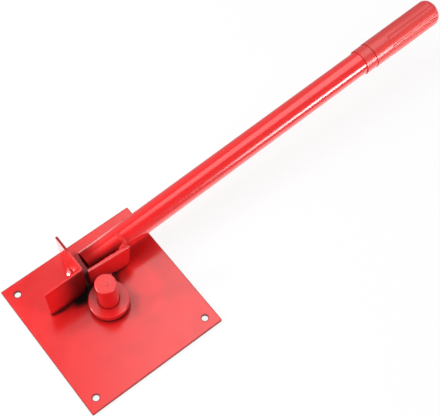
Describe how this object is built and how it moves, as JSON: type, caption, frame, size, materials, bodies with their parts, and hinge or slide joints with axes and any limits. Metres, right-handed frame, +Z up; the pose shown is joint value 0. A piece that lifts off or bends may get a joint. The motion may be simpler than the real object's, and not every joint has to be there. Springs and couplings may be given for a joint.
{
  "type": "rod bender",
  "caption": "Bench rod bender: square base plate with a pin, a loose collar and a folded angle stop, and a long tubular lever that swings round the pin to bend a rod.",
  "frame": {"origin": "centre of the base plate's underside, which is the centre of the bench bolt pattern", "axes": "+Z up from the bench, along the pin; +Y along the lever at rest and along the straight rod; +X from the stop and lever towards the pin's free side"},
  "size_m": [0.164, 0.5669, 0.0702],
  "materials": {
    "paint": "glossy red paint on steel",
    "weld_paint": "glossy red paint over weld beads",
    "grip": "satin red moulded vinyl"
  },
  "bodies": {
    "base": {"base_plate": "paint", "stop_angle": "paint", "stop_face_weld": "weld_paint", "stop_wing_weld": "weld_paint", "pivot_pin": "paint", "pin_weld": "weld_paint"},
    "lever": {"pivot_strap": "paint", "strap_weld": "weld_paint", "press_plate": "paint", "lever_tube": "paint", "tube_seam_weld": "weld_paint", "tube_ring_weld": "weld_paint", "hand_grip": "grip"},
    "collar": {"bending_collar": "paint"}
  },
  "joints": [
    {"name": "lever_swing", "type": "hinge", "parent": "base", "child": "lever", "pos_m": [-0.0027, 0.0007, 0.0058], "axis": [0, 0, 1], "range_deg": [-180, 5]},
    {"name": "collar_spin", "type": "hinge", "parent": "base", "child": "collar", "pos_m": [-0.0027, 0.0007, 0.0126], "axis": [0, 0, 1], "continuous": true}
  ]
}
